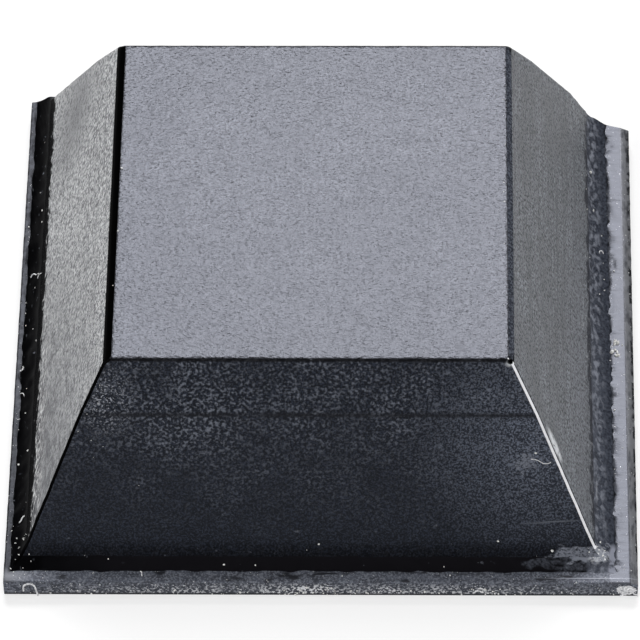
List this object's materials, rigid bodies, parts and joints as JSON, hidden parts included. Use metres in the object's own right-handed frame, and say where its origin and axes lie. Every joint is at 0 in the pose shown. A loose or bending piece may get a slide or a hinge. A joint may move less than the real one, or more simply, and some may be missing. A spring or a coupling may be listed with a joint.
{
  "type": "square rubber foot",
  "caption": "Square tapered foot moulded in black rubber, with a wide thin-flanged base that sticks under a box or device and a small flat face that stands on the table",
  "frame": {"origin": "middle of the box round the foot, at its bottom: the plane of the wide base face is Z = 0", "axes": "+Z goes from the wide base face up to the small contact face, +X runs along the front cut edge, and +Y points to the back cut edge, which is trimmed a little askew"},
  "size_m": [0.0206, 0.0202, 0.0076],
  "materials": {
    "rubber": "black moulded elastomer, satin orange-peel contact face, drawn satin sides, cut matt edges with pale dust"
  },
  "bodies": {
    "root": {"rubber_foot": "rubber"}
  },
  "joints": []
}
